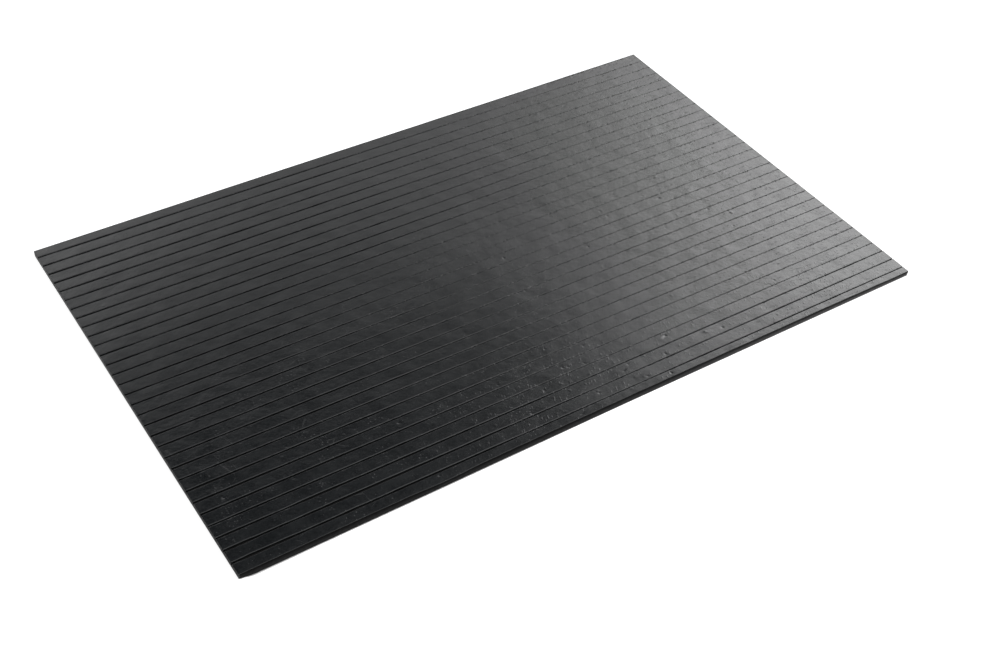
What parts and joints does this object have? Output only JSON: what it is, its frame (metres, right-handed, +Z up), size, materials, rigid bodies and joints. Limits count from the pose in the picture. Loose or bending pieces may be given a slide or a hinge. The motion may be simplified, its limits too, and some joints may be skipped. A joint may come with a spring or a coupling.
{
  "type": "rubber doormat",
  "caption": "Rectangular black rubber doormat, a flat slab with broad flat ribs and narrow open-ended grooves along its length.",
  "frame": {"origin": "middle of the flat underside, which lies on the floor", "axes": "+X along the ribs and the long sides, +Y across the ribs, +Z up out of the ribbed face"},
  "size_m": [0.8, 0.5, 0.007],
  "materials": {
    "black_rubber": "satin black rubber with a soft sheen, fine pits and light scuffs"
  },
  "bodies": {
    "root": {"ribbed_rubber_mat": "black_rubber"}
  },
  "joints": []
}
